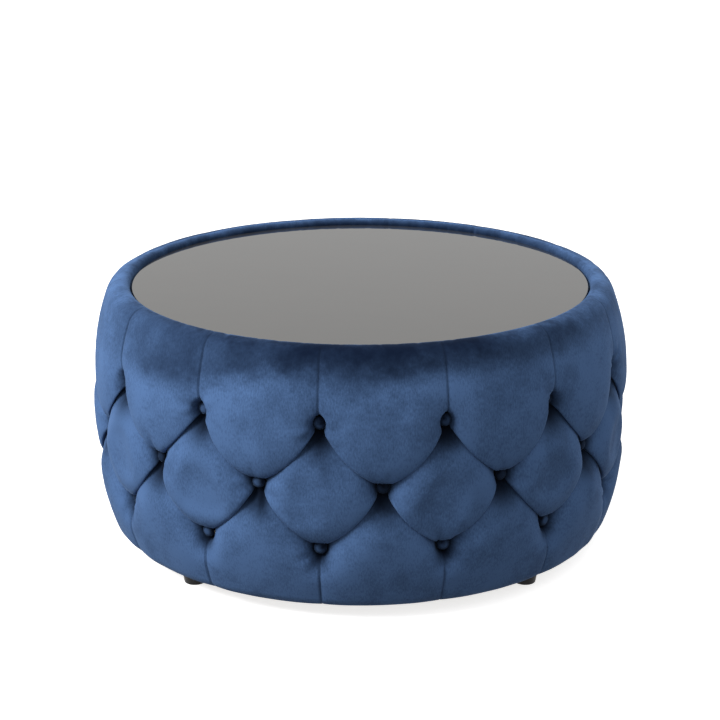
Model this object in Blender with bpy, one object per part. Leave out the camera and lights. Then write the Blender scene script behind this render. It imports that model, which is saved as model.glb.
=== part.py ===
"""Round button-tufted ottoman: an upholstered storage drum, a lift-out lid board and a glass top.

Metres, +Z up. The origin is on the floor, on the drum's axis. Azimuths run from the front (-Y) towards +X.
"""

from math import cos, pi, radians, sin

import bmesh
import bpy

# Driving dimensions
RADIUS = 0.450  # the widest crest of the upholstery
HEIGHT = 0.439  # floor to the crest of the rim roll
FOOT_HEIGHT = 0.020
FIT = 0.0003  # the gap kept between pieces that touch

# Tufting: three rows of buttons, the middle row half a column round from the others
BUTTON_COLUMNS = 14
BUTTON_PHASE = radians(-8.2)  # azimuth of the first column of the top and bottom rows
BOTTOM_ROW = 0.124  # height of the lowest row
ROW_PITCH = 0.1003
BUTTON_DEPTH = 0.035  # from the crest to the tip of a button's dimple
FOLD_DEPTH = 0.010  # halfway along a diagonal fold
PLEAT_DEPTH = 0.006  # the straight pleats above the top row and below the bottom row
BUTTON_SEAT = 0.0078  # the tip of a dimple to the back of its button
BUTTON_SEGMENTS = 8
COLUMNS_PER_BUTTON = 4
COLUMNS = BUTTON_COLUMNS * COLUMNS_PER_BUTTON

# Upholstery section
COVER = 0.002  # velvet with its thin batting
BELLY_HEIGHT = 0.229  # height of the widest crest
BELLY_HALF = 0.189  # from there to either end of the side
BELLY_DROP = 0.0265  # how far the side has come in at its ends
BELLY_POWER = 2.6
SIDE_TOP = BELLY_HEIGHT + BELLY_HALF
SIDE_BOTTOM = BELLY_HEIGHT - BELLY_HALF
CREST_RADIUS = 0.395  # the highest circle of the rim roll
RECESS_RADIUS = 0.383  # the velvet wall round the glass
RECESS_ROLL_HEIGHT = 0.010  # height of the roll's inner quarter
BOTTOM_ROLL_RADIUS = 0.400  # where the side's lower roll meets the underside
FLANGE_RADIUS = 0.3725  # inner edge of the velvet on the ledge
UNDER_FLANGE_RADIUS = 0.345  # inner edge of the velvet under the base

# Top
GLASS_RADIUS = 0.380
GLASS = 0.005
GLASS_BELOW_CREST = 0.010
BUMPER = 0.0015
BUMPER_RADIUS = 0.009
BUMPER_CIRCLE = 0.300
LID_RADIUS = 0.379
LID = 0.012
FINGER_HOLE_RADIUS = 0.016
FINGER_HOLE_OFFSET = 0.325

# Frame
WALL_OUTSIDE = 0.404
WALL = 0.006
RING_INSIDE = 0.3857
RIM_TOP = 0.427
LEDGE_INSIDE = 0.350
LEDGE = 0.018
BASE = 0.018
LINER = 0.0015
DUST_COVER = 0.0008
DUST_COVER_RADIUS = 0.3975

# Feet
FOOT_CIRCLE = 0.375
FOOT_TOP_RADIUS = 0.021
FOOT_BOTTOM_RADIUS = 0.018
FOOT_CHAMFER = 0.002
FOOT_SEGMENTS = 20
FEET = 4

# Heights worked out down from the crest and up from the floor
GLASS_TOP = HEIGHT - GLASS_BELOW_CREST
BUMPER_TOP = GLASS_TOP - GLASS - FIT
LID_TOP = BUMPER_TOP - BUMPER - FIT
FLANGE_TOP = LID_TOP - LID - FIT
LEDGE_TOP = FLANGE_TOP - COVER - FIT
LEDGE_BOTTOM = LEDGE_TOP - LEDGE
DUST_COVER_BOTTOM = FOOT_HEIGHT + FIT
VELVET_BOTTOM = DUST_COVER_BOTTOM + DUST_COVER + FIT
FRAME_BOTTOM = VELVET_BOTTOM + COVER + FIT
WALL_INSIDE = WALL_OUTSIDE - WALL
WALL_FACE = WALL_OUTSIDE + FIT  # the foam's back
BOARD_RADIUS = WALL_INSIDE - FIT
SHELL_BOTTOM = FRAME_BOTTOM + 4 * FIT  # clear of the velvet's lower roll
BASE_TOP = FRAME_BOTTOM + BASE
LINER_BOTTOM = BASE_TOP + FIT

ROWS = {
    "bottom": BOTTOM_ROW,
    "middle": BOTTOM_ROW + ROW_PITCH,
    "top": BOTTOM_ROW + 2 * ROW_PITCH,
}


def material(name, colour, roughness, metallic=0.0):
    made = bpy.data.materials.new(name)
    made.use_nodes = True
    shader = made.node_tree.nodes["Principled BSDF"]
    shader.inputs["Base Color"].default_value = (*colour, 1.0)
    shader.inputs["Roughness"].default_value = roughness
    shader.inputs["Metallic"].default_value = metallic
    return made


def placed(name, mesh, finish, location=(0, 0, 0), rotation=(0, 0, 0)):
    """A new object of this mesh, in the scene, with its material."""
    if not mesh.materials:
        mesh.materials.append(finish)
    made = bpy.data.objects.new(name, mesh)
    made.location = location
    made.rotation_euler = rotation
    bpy.context.scene.collection.objects.link(made)
    return made


def mesh_from(name, rings, closed):
    """A mesh through rings of points. A ring of one point is a tip on the axis; closed joins the last ring to the first."""
    shape = bmesh.new()
    rows = [[shape.verts.new(point) for point in ring] for ring in rings]
    pairs = list(zip(rows, rows[1:]))
    if closed:
        pairs.append((rows[-1], rows[0]))
    for lower, upper in pairs:
        count = max(len(lower), len(upper))
        for i in range(count):
            j = (i + 1) % count
            if len(lower) == 1:
                shape.faces.new((lower[0], upper[j], upper[i]))
            elif len(upper) == 1:
                shape.faces.new((lower[i], lower[j], upper[0]))
            else:
                a, b, c, d = lower[i], lower[j], upper[j], upper[i]
                # Split along the diagonal that lies nearer the axis, so that folds run as valleys
                if distance_out(a, c) <= distance_out(b, d):
                    shape.faces.new((a, b, c))
                    shape.faces.new((a, c, d))
                else:
                    shape.faces.new((a, b, d))
                    shape.faces.new((b, c, d))
    bmesh.ops.recalc_face_normals(shape, faces=shape.faces)
    mesh = bpy.data.meshes.new(name)
    shape.to_mesh(mesh)
    shape.free()
    return mesh


def distance_out(first, second):
    return first.co.xy.length + second.co.xy.length


def turned_mesh(name, outline, segments=COLUMNS):
    """A turned solid from an outline of (radius, height) points: a ring, or a disc where it starts and ends on the axis."""
    rings = []
    for radius, height in outline:
        if radius == 0:
            rings.append([(0, 0, height)])
            continue
        turns = [BUTTON_PHASE + 2 * pi * i / segments for i in range(segments)]
        rings.append([(radius * sin(t), -radius * cos(t), height) for t in turns])
    mesh = mesh_from(name, rings, closed=outline[0][0] > 0)
    mesh.shade_smooth()
    mesh.set_sharp_from_angle(angle=radians(35))
    return mesh


def turned(name, outline, finish, segments=COLUMNS):
    return placed(name, turned_mesh(name, outline, segments), finish)


def disc_outline(radius, bottom, top):
    return [(0, bottom), (radius, bottom), (radius, top), (0, top)]


def ring_outline(inside, outside, bottom, top):
    return [(inside, bottom), (outside, bottom), (outside, top), (inside, top)]


def side_radius(height):
    """The crest of the barrel-shaped side, without its tufting."""
    away = abs(height - BELLY_HEIGHT) / BELLY_HALF
    return RADIUS - BELLY_DROP * away**BELLY_POWER


def roll(centre, across, up, start, end, steps):
    """Points (radius, height) along an elliptical quarter of a roll."""
    angles = [radians(start + (end - start) * i / steps) for i in range(steps + 1)]
    return [(centre[0] + across * cos(a), centre[1] + up * sin(a)) for a in angles]


def rim_section(inset):
    """The rim roll from the recess wall over the crest to the top of the side, this far inside the velvet's face."""
    inner = roll(
        (CREST_RADIUS, HEIGHT - RECESS_ROLL_HEIGHT),
        CREST_RADIUS - RECESS_RADIUS - inset,
        RECESS_ROLL_HEIGHT - inset,
        180,
        90,
        2,
    )
    outer = roll(
        (CREST_RADIUS, SIDE_TOP),
        side_radius(SIDE_TOP) - CREST_RADIUS - inset,
        HEIGHT - SIDE_TOP - inset,
        90,
        0,
        3,
    )
    return inner + outer[1:]


def side_section(inset):
    """The side between the rolls, with a station on each row of buttons and each line of half-way folds."""
    half = ROW_PITCH / 2
    stations = [BOTTOM_ROW + half * i for i in range(4, -1, -1)]
    above = (SIDE_TOP + stations[0]) / 2
    below = (SIDE_BOTTOM + stations[-1]) / 2
    return [(side_radius(z) - inset, z) for z in (above, *stations, below)]


def bottom_section(inset):
    return roll(
        (BOTTOM_ROLL_RADIUS, SIDE_BOTTOM),
        side_radius(SIDE_BOTTOM) - BOTTOM_ROLL_RADIUS - inset,
        SIDE_BOTTOM - VELVET_BOTTOM - inset,
        0,
        -90,
        3,
    )


def relief(height, column):
    """How far the tufting draws the cover in at this height and column of the grid."""
    place = column % COLUMNS_PER_BUTTON
    on_column, between = place == 0, place == COLUMNS_PER_BUTTON // 2
    half_rows = (height - BOTTOM_ROW) / (ROW_PITCH / 2)
    row = round(half_rows)
    if abs(half_rows - row) > 0.01 or not 0 <= row <= 4:
        on_side = SIDE_BOTTOM < height < SIDE_TOP
        return PLEAT_DEPTH if on_column and on_side else 0
    if row % 2:
        return 0 if on_column or between else FOLD_DEPTH
    has_button = between if row == 2 else on_column
    return BUTTON_DEPTH if has_button else 0


def tufted(name, loop, finish):
    """A closed ring of this section, drawn in by the buttons wherever it lies outside the wall."""
    rings = []
    for radius, height in loop:
        ring = []
        for column in range(COLUMNS):
            turn = BUTTON_PHASE + 2 * pi * column / COLUMNS
            drawn = radius - (relief(height, column) if radius > WALL_FACE else 0)
            ring.append((drawn * sin(turn), -drawn * cos(turn), height))
        rings.append(ring)
    return placed(name, mesh_from(name, rings, closed=True), finish)


def cover_section(inset):
    """The velvet's whole path: on the ledge, up the recess, over the rim, down the side and under the base."""
    return [
        (FLANGE_RADIUS, FLANGE_TOP - inset),
        (RECESS_RADIUS + inset, FLANGE_TOP - inset),
        *rim_section(inset),
        *side_section(inset),
        *bottom_section(inset),
        (UNDER_FLANGE_RADIUS, VELVET_BOTTOM + inset),
    ]


def make_velvet_cover(finish):
    face = cover_section(0)
    back = cover_section(COVER)
    tufted("velvet_cover", face + back[::-1], finish)


def make_foam_wrap(finish):
    inset = COVER + 2 * FIT
    face = [*rim_section(inset), *side_section(inset), *bottom_section(inset)[:-1]]
    back = [
        (WALL_FACE, SHELL_BOTTOM),
        (WALL_FACE, RIM_TOP + FIT),
        (RECESS_RADIUS + inset, RIM_TOP + FIT),
    ]
    tufted("foam_wrap", face + back, finish)


def make_buttons(finish):
    outline = [(0, 0), (0.0085, 0), (0.0105, 0.003), (0.0085, 0.0065), (0, 0.0085)]
    mesh = turned_mesh("covered_button", outline, BUTTON_SEGMENTS)
    for row, height in ROWS.items():
        shift = 0.5 if row == "middle" else 0
        out = side_radius(height) - BUTTON_DEPTH + BUTTON_SEAT
        for column in range(BUTTON_COLUMNS):
            turn = BUTTON_PHASE + 2 * pi * (column + shift) / BUTTON_COLUMNS
            place = (out * sin(turn), -out * cos(turn), height)
            placed(f"button_{row}_{column + 1:02d}", mesh, finish, place, (pi / 2, 0, turn))


def make_frame(plywood, hardboard):
    """The glued drum that the upholstery is built on."""
    turned("base_board", disc_outline(BOARD_RADIUS, FRAME_BOTTOM, BASE_TOP), plywood)
    turned("side_shell", ring_outline(WALL_INSIDE, WALL_OUTSIDE, SHELL_BOTTOM, RIM_TOP), hardboard)
    turned("ledge_ring", ring_outline(LEDGE_INSIDE, BOARD_RADIUS, LEDGE_BOTTOM, LEDGE_TOP), plywood)
    turned("rim_ring", ring_outline(RING_INSIDE, BOARD_RADIUS, LEDGE_TOP + FIT, RIM_TOP), plywood)


def make_storage_liner(finish):
    """A fabric cup that lines the storage space, from the base board up to the ledge."""
    outside = BOARD_RADIUS
    inside = outside - LINER
    top = LEDGE_BOTTOM - FIT
    floor = LINER_BOTTOM + LINER
    outline = [(0, LINER_BOTTOM), (outside, LINER_BOTTOM), (outside, top), (inside, top), (inside, floor), (0, floor)]
    turned("storage_liner", outline, finish)


def make_lid(plywood, rubber, glass):
    board = turned("lid_board", disc_outline(LID_RADIUS, LID_TOP - LID, LID_TOP), plywood)
    cut_finger_hole(board)
    dot = turned_mesh("bumper_dot", disc_outline(BUMPER_RADIUS, 0, BUMPER), 16)
    for number in range(4):
        turn = radians(45 + 90 * number)
        place = (BUMPER_CIRCLE * sin(turn), -BUMPER_CIRCLE * cos(turn), LID_TOP + FIT)
        placed(f"glass_bumper_{number + 1}", dot, rubber, place)
    turned("glass_top", disc_outline(GLASS_RADIUS, GLASS_TOP - GLASS, GLASS_TOP), glass, 96)


def cut_finger_hole(board):
    """One round hole near the back edge lifts the bare board out once the glass is off."""
    reach = LID  # past both faces
    outline = disc_outline(FINGER_HOLE_RADIUS, LID_TOP - LID - reach, LID_TOP + reach)
    cutter = placed("finger_hole_cutter", turned_mesh("finger_hole_cutter", outline, 24), board.data.materials[0])
    cutter.location = (0, FINGER_HOLE_OFFSET, 0)
    cutter.hide_render = True
    cutter.display_type = "WIRE"
    cut = board.modifiers.new("finger_hole", "BOOLEAN")
    cut.operation = "DIFFERENCE"
    cut.object = cutter


def make_feet(plastic):
    outline = [
        (0, 0),
        (FOOT_BOTTOM_RADIUS - FOOT_CHAMFER, 0),
        (FOOT_BOTTOM_RADIUS, FOOT_CHAMFER),
        (FOOT_TOP_RADIUS, FOOT_HEIGHT),
        (0, FOOT_HEIGHT),
    ]
    mesh = turned_mesh("foot", outline, FOOT_SEGMENTS)
    for number in range(FEET):
        turn = radians(45 + 90 * number)
        place = (FOOT_CIRCLE * sin(turn), -FOOT_CIRCLE * cos(turn), 0)
        placed(f"foot_{number + 1}", mesh, plastic, place)


def make_dust_cover(finish):
    outline = disc_outline(DUST_COVER_RADIUS, DUST_COVER_BOTTOM, DUST_COVER_BOTTOM + DUST_COVER)
    turned("dust_cover", outline, finish)


def main():
    for old in list(bpy.data.objects):
        bpy.data.objects.remove(old)
    velvet = material("blue_velvet", (0.036, 0.078, 0.175), 0.85)
    foam = material("cream_foam", (0.80, 0.72, 0.50), 0.95)
    plywood = material("birch_plywood", (0.62, 0.44, 0.25), 0.60)
    hardboard = material("brown_hardboard", (0.30, 0.18, 0.10), 0.70)
    lining = material("black_lining", (0.020, 0.020, 0.022), 0.90)
    glass = material("smoked_glass", (0.060, 0.059, 0.056), 0.05)
    rubber = material("clear_silicone", (0.60, 0.60, 0.60), 0.40)
    plastic = material("black_plastic", (0.012, 0.012, 0.012), 0.45)
    make_frame(plywood, hardboard)
    make_storage_liner(lining)
    make_foam_wrap(foam)
    make_velvet_cover(velvet)
    make_buttons(velvet)
    make_dust_cover(lining)
    make_feet(plastic)
    make_lid(plywood, rubber, glass)


main()
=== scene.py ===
"""Looks for the round button-tufted storage ottoman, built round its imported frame.

Metres, +Z up, the front facing -Y. Azimuths run from the front towards +X, as in the CAD model.
"""

from math import cos, pi, radians, sin

import bmesh
import bpy
import numpy as np
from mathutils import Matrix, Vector


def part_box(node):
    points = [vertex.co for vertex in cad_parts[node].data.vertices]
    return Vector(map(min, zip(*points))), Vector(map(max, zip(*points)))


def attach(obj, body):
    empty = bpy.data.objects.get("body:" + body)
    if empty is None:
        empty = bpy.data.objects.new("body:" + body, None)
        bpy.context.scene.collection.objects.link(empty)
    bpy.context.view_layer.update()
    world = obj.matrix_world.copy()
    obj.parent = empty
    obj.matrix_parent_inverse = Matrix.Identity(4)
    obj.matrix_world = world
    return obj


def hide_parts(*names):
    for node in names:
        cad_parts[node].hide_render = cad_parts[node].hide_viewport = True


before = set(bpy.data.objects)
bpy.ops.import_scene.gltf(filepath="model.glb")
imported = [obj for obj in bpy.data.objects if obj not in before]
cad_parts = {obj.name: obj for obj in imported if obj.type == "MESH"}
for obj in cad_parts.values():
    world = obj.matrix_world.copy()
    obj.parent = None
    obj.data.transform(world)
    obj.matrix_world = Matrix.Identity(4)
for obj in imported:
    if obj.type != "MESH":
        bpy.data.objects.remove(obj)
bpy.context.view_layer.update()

# Camera, at the photograph's viewing angle
CAMERA_DISTANCE = 3.285
CAMERA_PITCH = radians(17.92)
CAMERA_TARGET = 0.288
CAMERA_LENS = 96.85

# The grid of buttons, as the CAD model has it
BUTTON_COLUMNS = 14
BUTTON_PHASE = radians(-8.2)
BOTTOM_ROW = 0.124
ROW = 0.1003  # from one row of buttons to the next
BUTTON_DEPTH = 0.035
BUTTON_SEAT = 0.0078
# Buttons drawn further in than the rest, and given more painted shade from their pits
DEEP_BUTTONS = [f"button_middle_{number}" for number in ("01", "02", "03", "13")]
DEEP_BUTTONS += ["button_top_03", "button_top_13", "button_bottom_13"]
DEEP_SINK = 0.0025  # how much further in those are drawn

# The cover's section
BELLY_HEIGHT = 0.229
BELLY_HALF = 0.189
BELLY_DROP = 0.0265
BELLY_POWER = 2.6
RADIUS = 0.450
CREST = (0.395, 0.439)  # the top of the rim roll, as (radius, height)
RECESS = (0.383, 0.429)  # where the roll meets the wall round the glass
FLANGE_TOP = 0.4096
FLANGE_EDGE = 0.3725
UNDERSIDE = (0.400, 0.0214)  # where the lower roll meets the underside
UNDER_EDGE = 0.345
SIDE_TOP = BELLY_HEIGHT + BELLY_HALF
SIDE_BOTTOM = BELLY_HEIGHT - BELLY_HALF
CLOTH = 0.0016  # the velvet's own thickness, seen at its cut edges

# Tufting
COLUMN = 2 * pi * 0.445 / BUTTON_COLUMNS  # from one button to the next, along the side
HALF = COLUMN / 2
FOLD_DEPTH = 0.015  # halfway along a diagonal fold
DIMPLE_REACH = 0.028  # how far a button's pull is felt along a fold
PIT_REACH = 0.064  # and down the pillow under it
PILLOW_REACH = 0.060  # how far a fold's pull is felt across a pillow
SAG = 0.0125  # how far a pillow hangs over the folds under it
PLEAT_DEPTH = 0.0035
PLEAT_REACH = 0.012  # how far a pleat is felt on its soft side
LAP_REACH = 0.0028  # and on the side where it is lapped over
GATHER = 0.0003  # height of the gathers over the rim
GATHER_WAVES = ((57, 0.4), (83, 2.1), (131, 4.0), (176, 1.2))  # as (count round the rim, phase)
WRINKLE = 0.0017  # height of the creases beside a button
LUMP = 0.0012  # height of the padding's unevenness
CREASE_SHADE = 0.62  # how much painted shade darkens the folds and pleats, and how wide
CREASE_WIDTH = 0.0020
PIT_SHADE_WIDTH = 0.031  # the stretch of painted shade under a button
PIT_SHADE_HEIGHT = 0.037
STEPS = 24  # mesh columns in half a button column
SEED = 7

# The cover as cloth
HOLD_REACH = 0.007  # how far from a fold or pleat it is held
CLOTH_FRAMES = 18
CLOTH_CAP = 0.007  # the most that any point may move
CLOTH_SETTINGS = {
    "quality": 3,
    "mass": 0.3,
    "air_damping": 6.0,
    "tension_damping": 20,
    "compression_damping": 20,
    "tension_stiffness": 12,
    "compression_stiffness": 12,
    "shear_stiffness": 6,
    "bending_stiffness": 3.0,
    "use_pressure": True,
    "uniform_pressure_force": 3.0,
}

# The other parts
GLASS_EDGE = 0.0012  # the rounding of the glass's polished edge
FOAM_GAP = 0.0085  # from the cover to the foam
FOAM_INSIDE = 0.4045
FOAM_SHELF = (0.3862, 0.4275)  # the inner edge of the foam, on the rim board
FOAM_FOOT = 0.0290
FOOT_RECESS = 0.008
BUTTON_RADII = (0, 0.0075, 0.0095, 0.0104, 0.0098, 0.0078, 0.0045, 0)
BUTTON_HEIGHTS = (0, 0, 0.0012, 0.0030, 0.0050, 0.0068, 0.0080, 0.0085)
STAPLE = 0.010  # its width
STAPLE_WIRE = 0.0009
SEAM_PIPING = 0.0014  # radius of the piping in the liner's floor seam
PLY_PAIR = 0.0028  # two layers of plywood
THREAD = 0.0016  # a pair of the lining's threads
BOND = 0.0036  # two of the dust cloth's rows of bonds

# Studio
DOME_TOP = 0.9
DOME_SIDE = 0.50
DOME_HORIZON = 0.30
DOME_LOW = 0.12
DOME_BACK = 0.55
FLOOR_GLOW = 0.74
KEY_POWER = 98
KEY_SIZE = 1.3
KEY_PLACE = (-2.35, -1.35, 2.3)

# Velvet
VELVET_DARK = (0.0030, 0.0080, 0.024)
VELVET_PALE = (0.087, 0.168, 0.352)
# The near-black blue of the painted shade in pits and creases
VELVET_PIT_SHADE = (0.0022, 0.0045, 0.011)
VELVET_GLOSS = {
    "Specular IOR Level": 0.06,
    "Sheen Weight": 0.12,
    "Sheen Roughness": 0.35,
    "Sheen Tint": (0.40, 0.62, 1.0),
}
VELVET_GRAIN = (430, 190, 1)
NAP_LEAN = 0.6
BUTTON_LEAN = 0.15
NAP_BODY = 7.0  # how soon the nap pales as it turns from the eye, on the side
NAP_SPLAY = 0.95  # and over the rim, where the bend opens it
# The most the nap over the rim pales, held down as painted shade on the rim's top
SPLAY_SHADED_PALE = 0.88
NAP_BEND = (0.376, 0.422)  # the heights over which the bend opens the nap
NAP_BEND_UNEVEN = 0.010
SHADE_BAND_SIDE = (-0.79, -0.62, 0)  # towards the front left, where the dark band over the rim is carried further down, as painted shade
SHADE_BAND_REACH = (0.36, 0.435)  # how far out that way the lowering begins, and is full
SHADE_BAND_DROP = 0.042


def camera():
    data = bpy.data.cameras.new("camera")
    data.lens = CAMERA_LENS
    made = bpy.data.objects.new("camera", data)
    back = CAMERA_DISTANCE * cos(CAMERA_PITCH)
    made.location = (0, -back, CAMERA_TARGET + CAMERA_DISTANCE * sin(CAMERA_PITCH))
    made.rotation_euler = (pi / 2 - CAMERA_PITCH, 0, 0)
    bpy.context.scene.collection.objects.link(made)
    bpy.context.scene.camera = made


# Materials


class Nodes:
    """Short ways to add and wire nodes in one material or world."""

    def __init__(self, tree, shader="Principled BSDF"):
        self.tree = tree
        self.shader = tree.nodes[shader]

    def fill(self, socket, value):
        """Wires a socket, or sets it to a plain value."""
        if isinstance(value, bpy.types.NodeSocket):
            self.tree.links.new(value, socket)
        elif socket.type == "RGBA":
            socket.default_value = (*value, 1)
        else:
            socket.default_value = value

    def set(self, key, value):
        """Wires or sets one of the shader's own sockets."""
        self.fill(self.shader.inputs[key], value)

    def run(self, kind, inputs=None, output=0, **settings):
        """Adds a node with these settings, fills its inputs, and returns one of its outputs."""
        node = self.tree.nodes.new(kind)
        for key, value in settings.items():
            setattr(node, key, value)
        for key, value in (inputs or {}).items():
            self.fill(node.inputs[key], value)
        return node.outputs[output]

    def place(self):
        return self.run("ShaderNodeTexCoord", output="Object")

    def cloth(self):
        """The place on the flat cloth, in metres."""
        return self.run("ShaderNodeUVMap", output="UV", uv_map="cloth")

    def normal(self):
        return self.run("ShaderNodeNewGeometry", output="Normal")

    def axis(self, vector, name):
        return self.run("ShaderNodeSeparateXYZ", {0: vector}, name)

    def scaled(self, vector, scale):
        return self.run("ShaderNodeMapping", {"Vector": vector, "Scale": scale}, "Vector")

    def noise(self, vector, scale, detail=3.0, roughness=0.5):
        inputs = {"Vector": vector, "Scale": scale, "Detail": detail, "Roughness": roughness}
        return self.run("ShaderNodeTexNoise", inputs, "Fac")

    def span(self, value, low, high, to_low=0.0, to_high=1.0, kind="LINEAR"):
        """Carries low to high over to to_low to to_high, and stops at both ends."""
        inputs = {"Value": value, "From Min": low, "From Max": high, "To Min": to_low, "To Max": to_high}
        return self.run("ShaderNodeMapRange", inputs, "Result", interpolation_type=kind)

    def math(self, operation, first, second=0.0):
        return self.run("ShaderNodeMath", {0: first, 1: second}, operation=operation)

    def product(self, first, second):
        return self.math("MULTIPLY", first, second)

    def blend(self, first, share, second):
        """Adds this share of the first value and the rest of the second."""
        return self.math("ADD", self.product(first, share), self.product(second, 1 - share))

    def wave(self, vector, axis, pitch):
        """A sine along one axis, from -1 to 1."""
        return self.math("SINE", self.product(self.axis(vector, axis), 2 * pi / pitch))

    def vector(self, operation, first, second=(0, 0, 0)):
        return self.run("ShaderNodeVectorMath", {0: first, 1: second}, operation=operation)

    def measure(self, operation, first, second=(0, 0, 0)):
        """A vector operation that gives a number."""
        return self.run("ShaderNodeVectorMath", {0: first, 1: second}, "Value", operation=operation)

    def times(self, vector, scale):
        return self.run("ShaderNodeVectorMath", {0: vector, "Scale": scale}, operation="SCALE")

    def mix(self, factor, first, second):
        """A mix of two colours."""
        return self.run("ShaderNodeMix", {0: factor, 6: first, 7: second}, 2, data_type="RGBA")

    def bump(self, height, strength, distance):
        inputs = {"Height": height, "Strength": strength, "Distance": distance}
        self.set("Normal", self.run("ShaderNodeBump", inputs, "Normal"))


def new_material(name, colour, roughness, sockets=()):
    """A Principled material and its node tree, with these values set straight on the shader's sockets."""
    made = bpy.data.materials.new(name)
    made.use_nodes = True
    n = Nodes(made.node_tree)
    for key, value in {"Base Color": colour, "Roughness": roughness, **dict(sockets)}.items():
        n.set(key, value)
    return made, n


def nap_facing(n, place, smudges, lean):
    """How far the nap turns from the eye. It is combed out over the rim and down the side, and ruffled."""
    outward = n.vector("MULTIPLY", place, (1, 1, 0))
    over_rim = n.span(n.measure("LENGTH", outward), RECESS[0], CREST[0])
    down = n.run("ShaderNodeCombineXYZ", {"Z": n.span(over_rim, 0, 1, 1, -1)})
    way = n.vector("ADD", n.times(n.vector("NORMALIZE", outward), over_rim), down)
    combed = n.vector("ADD", n.normal(), n.times(way, lean))
    ruffle = (0, 0, 0)
    clouds, flecks = n.noise(place, 9, 3, 0.55), n.noise(place, 105, 3, 0.6)
    for noise, size in ((clouds, 1.35), (smudges, 0.80), (flecks, 0.45)):
        patches = n.vector("SUBTRACT", noise.node.outputs["Color"], (0.5, 0.5, 0.5))
        ruffle = n.vector("ADD", ruffle, n.times(patches, size))
    combed = n.vector("NORMALIZE", n.vector("ADD", combed, ruffle))
    return n.run("ShaderNodeLayerWeight", {"Normal": combed, "Blend": 0.5}, "Facing")


def nap_opening(n, place, smudges):
    """Where the bend over the rim opens the nap, 0 to 1. At the front left it opens further down, as painted
    shade.
    """
    # Painted shade: towards the front left the dark band is carried further down
    lower = n.span(n.measure("DOT_PRODUCT", place, SHADE_BAND_SIDE), *SHADE_BAND_REACH, 0.0, SHADE_BAND_DROP)
    height = n.math("ADD", n.axis(place, "Z"), lower)
    height = n.math("ADD", height, n.span(smudges, 0.3, 0.7, -NAP_BEND_UNEVEN, NAP_BEND_UNEVEN))
    return n.span(height, *NAP_BEND, kind="SMOOTHSTEP")


def velvet_material(name="blue_velvet", lean=NAP_LEAN):
    """Short-pile velvet: dark where its nap points at the eye, pale where the nap is seen from the side,
    with painted shade in its pits and creases.
    """
    made, n = new_material(name, VELVET_PALE, 0.95, VELVET_GLOSS)
    place = n.place()
    smudges = n.noise(place, 34, 4, 0.62)
    grain = n.noise(n.scaled(n.cloth(), VELVET_GRAIN), 1, 3, 0.65)
    toward = n.math("SUBTRACT", 1.0, nap_facing(n, place, smudges, lean))
    body = n.math("SUBTRACT", 1.0, n.math("POWER", toward, NAP_BODY))
    # Over the rim the paleness is held down, as painted shade on the rim's top
    splayed = n.product(n.math("SUBTRACT", 1.0, n.math("POWER", toward, NAP_SPLAY)), SPLAY_SHADED_PALE)
    change = n.product(n.math("SUBTRACT", splayed, body), nap_opening(n, place, smudges))
    pale = n.math("ADD", body, change)
    speckle = n.span(grain, 0.30, 0.70, 0.74, 1.26)
    crushed = n.span(n.noise(place, 17, 4, 0.6), 0.36, 0.62, 0.74, 1.08)
    share = n.product(n.product(pale, speckle), crushed)
    # Painted shade: the pits, folds and pleats are darkened here, by the attribute that the cover and the
    # buttons carry
    tuck = n.run("ShaderNodeAttribute", output="Fac", attribute_name="tuck")
    lit = n.math("POWER", n.math("SUBTRACT", 1.0, n.product(tuck, 0.97)), 1.7)
    colour = n.mix(share, VELVET_DARK, VELVET_PALE)
    n.set("Base Color", n.mix(n.math("SUBTRACT", 1.0, lit), colour, VELVET_PIT_SHADE))
    n.bump(grain, 0.3, 0.0004)
    return made


def glass_material():
    """Dark smoked glass, drawn opaque: its polish, with the faintest smears."""
    made, n = new_material("smoked_glass", (0.022, 0.020, 0.016), 0.02, {"IOR": 1.5})
    smears = n.noise(n.scaled(n.place(), (3, 9, 3)), 4, 5, 0.6)
    n.set("Roughness", n.span(smears, 0.35, 0.75, 0.012, 0.045))
    n.set("Base Color", n.mix(n.span(smears, 0.3, 0.7), (0.020, 0.018, 0.0145), (0.025, 0.0225, 0.018)))
    return made


def plywood_material():
    """Birch plywood: long grain on its faces, and layers showing at its edges."""
    made, n = new_material("birch_plywood", (0.55, 0.38, 0.22), 0.6, {"Specular IOR Level": 0.35})
    place = n.place()
    broad = n.noise(n.scaled(place, (1.6, 14, 14)), 1, 4, 0.6)
    fine = n.noise(n.scaled(place, (12, 260, 260)), 1, 3, 0.6)
    grain = n.blend(broad, 0.6, fine)
    face = n.mix(n.span(grain, 0.35, 0.65), (0.60, 0.43, 0.26), (0.42, 0.27, 0.145))
    layers = n.span(n.wave(place, "Z", PLY_PAIR), -0.3, 0.3)
    edge = n.mix(layers, (0.50, 0.34, 0.19), (0.27, 0.165, 0.085))
    edge = n.mix(n.span(fine, 0.35, 0.7, 0.0, 0.45), edge, (0.20, 0.12, 0.06))
    flat = n.span(n.math("ABSOLUTE", n.axis(n.normal(), "Z")), 0.4, 0.6)
    n.set("Base Color", n.mix(flat, edge, face))
    n.set("Roughness", n.span(grain, 0.3, 0.7, 0.50, 0.72))
    n.bump(fine, 0.35, 0.0003)
    return made


def hardboard_material():
    """Brown pressed fibre."""
    made, n = new_material("pressed_hardboard", (0.21, 0.115, 0.055), 0.7, {"Specular IOR Level": 0.3})
    place = n.place()
    fibres = n.noise(n.scaled(place, (1, 1, 0.4)), 700, 4, 0.7)
    mixed = n.blend(fibres, 0.7, n.noise(place, 18, 3))
    n.set("Base Color", n.mix(n.span(mixed, 0.35, 0.65), (0.26, 0.15, 0.075), (0.14, 0.075, 0.035)))
    n.bump(fibres, 0.5, 0.0004)
    return made


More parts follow.
